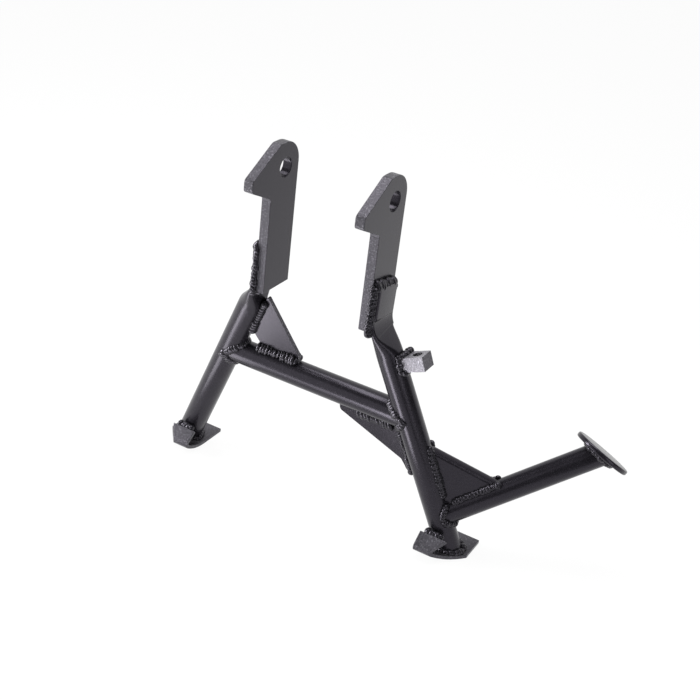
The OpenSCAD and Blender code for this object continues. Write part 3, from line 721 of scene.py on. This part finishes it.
def ripple_tree():
    """A geometry tree that lays overlapping ripples along the beads of a mesh."""
    group = bpy.data.node_groups.get("weld_ripples")
    if group:
        return group
    group = bpy.data.node_groups.new("weld_ripples", "GeometryNodeTree")
    group.interface.new_socket("Geometry", in_out="INPUT", socket_type="NodeSocketGeometry")
    for name, kind in RIPPLE_INPUTS:
        group.interface.new_socket(name, in_out="INPUT", socket_type=kind)
    group.interface.new_socket("Geometry", in_out="OUTPUT", socket_type="NodeSocketGeometry")
    t = Tree(group)
    given = t.make("NodeGroupInput").outputs
    pitch, length, tilt, spread, seed, finish = [Val(t, given[n]) for n, _ in RIPPLE_INPUTS]

    def stored(name, kind):
        return t.add("GeometryNodeInputNamedAttribute", {"data_type": kind}, {"Name": name})

    def chance(shift, low, high):
        return t.add(
            "FunctionNodeRandomValue", {"data_type": "FLOAT"},
            {2: low, 3: high, "Seed": seed + shift}, out=1,
        )

    curve = t.add("GeometryNodeMeshToCurve", None, {0: Val(t, given[0])})
    even = t.add("GeometryNodeResampleCurve", {"mode": "LENGTH"}, {"Curve": curve, "Length": pitch})
    stray = t.add("FunctionNodeRandomValue", {"data_type": "FLOAT_VECTOR"}, {
        0: (-STRAY * MM,) * 3, 1: (STRAY * MM,) * 3, "Seed": seed + 5,
    }, out=0)
    even = t.add("GeometryNodeSetPosition", None, {"Geometry": even, "Offset": stray})
    way = t.add("GeometryNodeInputTangent")
    face = stored("bead_face", "FLOAT_VECTOR")
    turn = t.add(
        "FunctionNodeAxesToRotation", {"primary_axis": "X", "secondary_axis": "Z"},
        {"Primary Axis": way, "Secondary Axis": face},
    )
    lean = t.add("ShaderNodeCombineXYZ", None, {
        1: tilt * chance(1, *LEAN_SPREAD), 2: chance(2, -SWAY, SWAY),
    })
    turned = t.add(
        "FunctionNodeRotateRotation", {"rotation_space": "LOCAL"},
        {"Rotation": turn, "Rotate By": t.add("FunctionNodeEulerToRotation", None, {0: lean})},
    )
    grow = 1 + spread * chance(3, -1.0, 1.0)
    size = t.add("ShaderNodeCombineXYZ", None, {
        0: length * chance(4, *LENGTH_SPREAD),
        1: stored("bead_width", "FLOAT") * grow,
        2: stored("bead_height", "FLOAT") * grow,
    })
    ball = t.add("GeometryNodeMeshIcoSphere", None, {"Radius": 1.0, "Subdivisions": 2})
    rows = t.add("GeometryNodeInstanceOnPoints", None, {
        "Points": even, "Instance": ball, "Rotation": turned, "Scale": size,
    })
    real = t.add("GeometryNodeRealizeInstances", None, {0: rows})
    soft = t.add("GeometryNodeSetShadeSmooth", None, {0: real})
    done = t.add("GeometryNodeSetMaterial", None, {"Geometry": soft, "Material": finish})
    t.links.new(done.socket, t.make("NodeGroupOutput").inputs[0])
    return group


def weld(node, beads, length=None):
    """The ripples of one weld node, laid over its CAD seam."""
    form = bpy.context.scene.stand_form
    piece = link(node + "_ripples", bead_mesh(node + "_ripples", beads), ())
    modifier = piece.modifiers.new("ripples", "NODES")
    group = ripple_tree()
    modifier.node_group = group
    values = {
        "Pitch": form.pitch, "Length": length or form.pitch * RIPPLE_LENGTH, "Tilt": form.tilt,
        "Spread": RIPPLE_SPREAD, "Seed": form.seed + len(node), "Material": stand_material("seam"),
    }
    for item in group.interface.items_tree:
        if item.in_out == "INPUT" and item.name in values:
            modifier[item.identifier] = values[item.name]
    settle(baked(piece), node)


def both_faces(a, b, off, radius, toward, height=None):
    """Two straight beads, one on each face of a sheet, leaning away from what they join."""
    return [
        run(a - off, b - off, -unit(off) * 0.8 + toward, radius, height),
        run(a + off, b + off, unit(off) * 0.8 + toward, radius, height),
    ]


class STAND_OT_plates(bpy.types.Operator):
    """Breaks the edges of the pivot plates and gives their cut edges a grain"""

    bl_idname = "stand.plates"
    bl_label = "Pivot plates"

    def execute(self, context):
        for side in ("left", "right"):
            dress(
                side + "_pivot_plate", ("coat", "cut"),
                axis=(1, 0, 0), bore=BORE_REACH * MM,
            )
        return {"FINISHED"}


class STAND_OT_legs(bpy.types.Operator):
    """Makes the two legs with their pressed and bent upper ends"""

    bl_idname = "stand.legs"
    bl_label = "Legs"

    def execute(self, context):
        right = leg_mesh("right_leg_steel")
        left = mirrored(right, "left_leg_steel")
        settle(link("right_leg_steel", right), "right_leg_tube")
        settle(link("left_leg_steel", left), "left_leg_tube")
        return {"FINISHED"}


class STAND_OT_tubes(bpy.types.Operator):
    """Smooths the cross tube and the lever tube"""

    bl_idname = "stand.tubes"
    bl_label = "Cross tube and lever"

    def execute(self, context):
        for node in ("cross_tube", "lever_tube"):
            piece = link(node + "_steel", smooth(merged_copy(node), 30))
            settle(piece, node)
        dress("foot_disc", radius=DISC_EDGE)
        return {"FINISHED"}


class STAND_OT_gussets(bpy.types.Operator):
    """Breaks the edges of the three gussets"""

    bl_idname = "stand.gussets"
    bl_label = "Gussets"

    def execute(self, context):
        for node in ("upper_gusset", "lower_gusset"):
            dress(node, ("coat", "cut"), radius=SHEET_EDGE, axis=FRAME_BACK)
        dress("lever_gusset", radius=FOLD_EDGE)
        return {"FINISHED"}


class STAND_OT_feet(bpy.types.Operator):
    """Breaks the edges of the foot plates and the spring block"""

    bl_idname = "stand.feet"
    bl_label = "Feet and spring block"

    def execute(self, context):
        for side in ("left", "right"):
            dress(side + "_foot_plate", ("block",), radius=SHEET_EDGE)
        block = dress("spring_hook_block", ("block", "painted_light"), radius=SHEET_EDGE)
        # The block's front and top faces get painted light, a lighter colour in place of the light
        # that falls on them.
        paint_light_on_faces(block, (Vector((0, -1, 0)), Vector(BLOCK_UP)))
        return {"FINISHED"}


def plate_beads():
    """The front bead and the narrow one beside it, the rear bead, and the band over the top."""
    x, side = PLATE_OUT + 1.5, EDGE_HALF + 0.6
    top, low = -FLAT_DROP, -PLATE_DROP - 2
    thin_x, band_x = x - 0.9, x + 1.6
    front = run(
        vec(x, FLAT_TOP_Y - side, top + 1), vec(x, BEND_Y - side, low), (0.5, -1, 0), PLATE_BEAD
    )
    thin = run(
        vec(thin_x, FLAT_TOP_Y - side - 3.0, top + 3), vec(thin_x, BEND_Y - side - 3.4, low + 3),
        (0.8, -1, 0), 2.0,
    )
    rear = run(
        vec(x, FLAT_TOP_Y + side, top - 4), vec(x, BEND_Y + side, BEND_SOFT - BEND_DROP),
        (0.5, 1, 0), PLATE_BEAD,
    )
    band = run(
        vec(band_x, FLAT_TOP_Y - EDGE_HALF + 1.5, top + 4.4),
        vec(band_x, FLAT_TOP_Y + EDGE_HALF - 3.0, top - 1.6),
        (0.8, 0, 0.6), (6.4, 4.4), (3.2, 2.8),
    )
    return [front, thin, rear, band]


def lower_plate_beads():
    """The bead under the plate's lower edge."""
    x, z = PLATE_OUT - 0.8, -PLATE_DROP - 2.4
    half = FLAT_HALF - 3
    ends = vec(x, BEND_Y - half, z), vec(x, BEND_Y + half, z)
    return [run(*ends, (-0.6, 0, -1), LOWER_PLATE_BEAD)]


def cross_beads(start, end):
    """The bead round the cross tube's right end, between two angles."""
    return [joint_bead(
        leg_at(CROSS_DROP), vec(-1, 0, 0), LEG_DIR, LEG_R, LEG_R, start, end, *CROSS_BEAD, lift=0.6
    )]


def foot_beads():
    """The bead round a leg on its foot plate, and the one at the flange's edge."""
    ring = joint_bead(FOOT_LEG, -LEG_DIR, vec(0, 0, 1), 0, LEG_R)
    ring.points = [p + vec(0, 0, sole_rise(p[1])) for p in ring.points]
    turn = math.asin((CURVE_Y - TOE_Y) / CURVE_R)
    heel = vec(0, CURVE_Y, CURVE_R - STAND_DROP)
    out = vec(0, math.sin(turn), math.cos(turn))
    fold = heel - (CURVE_R - FOOT_T / 2) * out + FLANGE_R * out
    lip = fold + FLANGE_R * vec(0, -math.sin(FOLD_RISE), math.cos(FOLD_RISE))
    lip = lip + FLANGE_L * vec(0, math.cos(FOLD_RISE), math.sin(FOLD_RISE))
    inner, outer = (vec(FOOT_LEG[0] - x, lip[1] + 3, lip[2] + 1) for x in (17, 3))
    return [ring, run(inner, outer, (0, -0.6, 1), LOWER_PLATE_BEAD)]


def upper_gusset_beads():
    """The upper gusset's beads, along the leg and along the cross tube."""
    top = LEG_R * math.cos(LEAN) - CROSS_DROP
    tip = top + UPPER_GUSSET_H * math.cos(SPLAY) * math.cos(LEAN) - 7
    off = FRAME_BACK * (SHEET_T / 2 + SHEET_OFF)
    leg = both_faces(
        frame_point(-leg_in_x(tip - 8) + 1, tip - 8),
        frame_point(-leg_in_x(top + 21) + 1, top + 21), off, 4.4, vec(0.55, 0, 0.2), 3.8,
    )
    tube = both_faces(
        frame_point(18 - leg_in_x(top), top + 2.7),
        frame_point(63 - leg_in_x(top), top + 2.7), off, SHEET_BEAD, vec(0, 0, 0.6),
    )
    return leg, tube


def lower_gusset_beads():
    """The lower gusset's beads, along the leg and along the cross tube."""
    under = -LEG_R * math.cos(LEAN) - CROSS_DROP
    tip = under - LOWER_GUSSET_H
    root = leg_in_x(under) - 1
    off = FRAME_BACK * (SHEET_T / 2 + SHEET_OFF)
    leg = both_faces(
        frame_point(leg_in_x(under - 10) - 1, under - 10),
        frame_point(leg_in_x(tip + 2) - 1, tip + 2), off, 3.6, vec(-0.55, 0, -0.2),
    )
    tube = both_faces(
        frame_point(root - 44, under - 1.8), frame_point(root - 8, under - 1.8),
        off, SHEET_BEAD, vec(0, 0, -0.6),
    )
    return leg, tube


def lever_beads():
    """The bead round the lever's root, and the folded gusset's along the leg and the lever."""
    ring = joint_bead(LEVER_FOOT, LEVER_DIR, -LEG_DIR, LEG_R, LEVER_R, 40, 320)
    x, y = -LEG_DIR @ LEVER_DIR, -LEG_DIR @ LEVER_UP
    side = math.sqrt(LEG_R ** 2 - FOLD_W ** 2 / 4) / y
    lift = math.sqrt(LEVER_R ** 2 - FOLD_W ** 2 / 4)
    off = LEVER_SIDE * (FOLD_W / 2 + SHEET_OFF)

    def at(u, v):
        return LEVER_FOOT + LEVER_DIR * u + LEVER_UP * v

    low = LEVER_R + 9
    leg = both_faces(
        at(FOLD_H * x / y + side, FOLD_H), at(low * x / y + side, low),
        off, 4.8, LEVER_DIR * 0.6, FOLD_BEAD_H,
    )
    tube = both_faces(
        at(LEG_R + 10, lift + 0.6), at(FOLD_L, lift + 0.6), off, 4.2, LEVER_UP * 0.6, FOLD_BEAD_H
    )
    return [ring], leg, tube


def block_beads():
    """The spring block's beads, down its front, over its top and under it."""
    length, width, high = BLOCK
    corner = BEND + LEG_DIR * BLOCK_RUN + BLOCK_OUT * length + vec(0, -BLOCK_FRONT, 0)
    x, off = LEG_R + 2.4 - length, SHEET_OFF
    front_x = x - 3.4

    def bead(starts, ends, way):
        a, b = (
            corner + BLOCK_OUT * u + vec(0, v, 0) + BLOCK_UP * w for u, v, w in (starts, ends)
        )
        return run(a, b, BLOCK_OUT * 0.5 + way, BLOCK_BEAD)

    return [
        bead((front_x, -off, 0), (front_x, -off, -high), vec(0, -1, 0)),
        bead((x, 1, off), (x, width - 1, off), BLOCK_UP),
        bead((x, 1, -high - off), (x, width - 1, -high - off), -BLOCK_UP),
    ]


class STAND_OT_welds(bpy.types.Operator):
    """Lays rippled beads along every weld seam"""

    bl_idname = "stand.welds"
    bl_label = "Weld seams"

    def execute(self, context):
        upper_leg, upper_tube = upper_gusset_beads()
        lower_leg, lower_tube = lower_gusset_beads()
        lever, fold_leg, fold_tube = lever_beads()
        paired = (
            ("plate_weld", plate_beads()), ("plate_lower_weld", lower_plate_beads()),
            ("foot_weld", foot_beads()),
        )
        for name, beads in paired:
            weld("right_" + name, beads)
            weld("left_" + name, [b.mirrored() for b in beads])
        weld("cross_tube_right_weld", cross_beads(30, 330))
        weld("cross_tube_left_weld", [b.mirrored() for b in cross_beads(0, 360)])
        weld("upper_gusset_leg_weld", upper_leg)
        weld("upper_gusset_tube_weld", upper_tube, length=SHORT_RIPPLE)
        weld("lower_gusset_leg_weld", lower_leg)
        weld("lower_gusset_tube_weld", lower_tube)
        weld("lever_tube_weld", lever)
        weld("lever_gusset_leg_weld", fold_leg)
        weld("lever_gusset_tube_weld", fold_tube)
        weld("foot_disc_weld", [joint_bead(LEVER_END, -LEVER_DIR, -DISC_DIR, 0, LEVER_R)])
        weld("spring_block_weld", block_beads())
        return {"FINISHED"}


def plainly_seen(t):
    """1 for the rays that see the plain white: from the camera, from gloss and through glass."""
    path = t.make("ShaderNodeLightPath").outputs
    seen = Val(t, path["Is Camera Ray"]).math("MAXIMUM", Val(t, path["Is Glossy Ray"]))
    return seen.math("MAXIMUM", Val(t, path["Is Transmission Ray"]))


def plain_floor(colour):
    """A pale floor that shows white to the camera and keeps a soft shadow."""
    material, t = new_material("pale_floor")
    seen = plainly_seen(t)
    matt = t.add("ShaderNodeBsdfDiffuse", None, {"Color": (*colour, 1.0)})
    white = t.add("ShaderNodeEmission", None, {"Color": (1, 1, 1, 1), "Strength": 1.0})
    shown = t.add("ShaderNodeMixShader", None, {0: seen * 0.93, 1: matt, 2: white})
    t.links.new(shown.socket, t.make("ShaderNodeOutputMaterial").inputs["Surface"])
    return material


def white_world(strength):
    """White surroundings that light the stand at a strength of their own."""
    world = bpy.data.worlds.new("studio")
    bpy.context.scene.world = world
    world.use_nodes = True
    world.node_tree.nodes.clear()
    t = Tree(world.node_tree)
    power = strength + plainly_seen(t) * (1 - strength)
    back = t.add("ShaderNodeBackground", None, {"Color": (1, 1, 1, 1), "Strength": power})
    t.links.new(back.socket, t.make("ShaderNodeOutputWorld").inputs["Surface"])


def softbox(name, at, target, size, power, spin):
    """A lamp that faces a point and isn't seen by the camera."""
    lamp = bpy.data.lights.new(name, "AREA")
    lamp.shape = "RECTANGLE"
    lamp.size, lamp.size_y = size
    lamp.energy = power
    obj = bpy.data.objects.new(name, lamp)
    bpy.context.scene.collection.objects.link(obj)
    obj.location = at
    turn = (Vector(target) - Vector(at)).to_track_quat("-Z", "Y")
    obj.rotation_euler = (turn @ Quaternion((0, 0, 1), math.radians(spin))).to_euler()
    obj.visible_camera = False


def flat_mesh(name, half_w, half_h, z, material):
    """One flat rectangle about the origin, at a height."""
    mesh = bpy.data.meshes.new(name)
    mesh.from_pydata(
        [(-half_w, -half_h, z), (half_w, -half_h, z), (half_w, half_h, z), (-half_w, half_h, z)],
        [], [(0, 1, 2, 3)],
    )
    mesh.materials.append(material)
    return mesh


def flag(name, at, target, size):
    """A black card, seen only as a dark band in the gloss."""
    material, t = new_material(name)
    matt = t.add("ShaderNodeBsdfDiffuse", None, {"Color": (0.0, 0.0, 0.0, 1.0)})
    t.links.new(matt.socket, t.make("ShaderNodeOutputMaterial").inputs["Surface"])
    mesh = flat_mesh(name, size[0] / 2, size[1] / 2, 0, material)
    card = bpy.data.objects.new(name, mesh)
    bpy.context.scene.collection.objects.link(card)
    card.location = at
    card.rotation_euler = (Vector(target) - Vector(at)).to_track_quat("Z", "Y").to_euler()
    card.visible_camera = False
    card.visible_shadow = False
    card.visible_diffuse = False


def add_floor(colour):
    """The pale floor under the soles."""
    mesh = flat_mesh("floor", FLOOR_HALF, FLOOR_HALF, FLOOR_Z, plain_floor(colour))
    floor = bpy.data.objects.new("floor", mesh)
    bpy.context.scene.collection.objects.link(floor)


def add_camera(scene):
    """The camera at the photograph's angle."""
    camera = bpy.data.cameras.new("camera")
    camera.sensor_width = SENSOR
    camera.lens = FOCAL_PX / FRAME_PX * SENSOR
    camera.clip_start, camera.clip_end = 0.01, 50
    eye = bpy.data.objects.new("camera", camera)
    scene.collection.objects.link(eye)
    scene.camera = eye
    turn = Vector(CAMERA_TURN)
    view = Matrix.Rotation(turn.length, 3, turn.normalized())
    place = Matrix((view[0], -view[1], -view[2])).transposed().to_4x4()
    place.translation = CAMERA_AT
    eye.matrix_world = place


class STAND_OT_stage(bpy.types.Operator):
    """Sets the floor, the soft lamps and the camera at the photograph's angle"""

    bl_idname = "stand.stage"
    bl_label = "Stage"

    def execute(self, context):
        scene = context.scene
        stage = scene.stand_stage
        scene.view_settings.view_transform = "Standard"
        white_world(stage.surround)
        add_floor(stage.floor)
        for name, at, target, size, watts, spin in LAMPS:
            softbox(name, at, target, size, watts * stage.lamps, spin)
        for card in CARDS:
            flag(*card)
        add_camera(scene)
        return {"FINISHED"}


class STAND_PT_panel(bpy.types.Panel):
    """Lists the stand's steps"""

    bl_idname = "STAND_PT_panel"
    bl_label = "Centre stand"
    bl_space_type = "VIEW_3D"
    bl_region_type = "UI"
    bl_category = "Stand"

    def draw(self, context):
        for name in GROUPS:
            group = getattr(context.scene, name)
            for key in group.bl_rna.properties.keys():
                if key not in ("rna_type", "name"):
                    self.layout.prop(group, key)
        for step in STEPS:
            self.layout.operator(step.bl_idname)


STEPS = (
    STAND_OT_plates, STAND_OT_legs, STAND_OT_tubes, STAND_OT_gussets, STAND_OT_feet,
    STAND_OT_welds, STAND_OT_stage,
)
GROUPS = {"stand_coat": StandCoat, "stand_form": StandForm, "stand_stage": StandStage}


def register():
    """Adds the stand's classes and their properties."""
    for cls in (*GROUPS.values(), *STEPS, STAND_PT_panel):
        bpy.utils.register_class(cls)
    for name, cls in GROUPS.items():
        setattr(bpy.types.Scene, name, PointerProperty(type=cls))


def unregister():
    """Takes the stand's classes and their properties away."""
    for name in GROUPS:
        delattr(bpy.types.Scene, name)
    for cls in (STAND_PT_panel, *reversed(STEPS), *GROUPS.values()):
        bpy.utils.unregister_class(cls)


def main():
    """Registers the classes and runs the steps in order."""
    register()
    bpy.ops.stand.plates()
    bpy.ops.stand.legs()
    bpy.ops.stand.tubes()
    bpy.ops.stand.gussets()
    bpy.ops.stand.feet()
    bpy.ops.stand.welds()
    bpy.ops.stand.stage()
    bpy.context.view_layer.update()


if __name__ == "__main__":
    main()
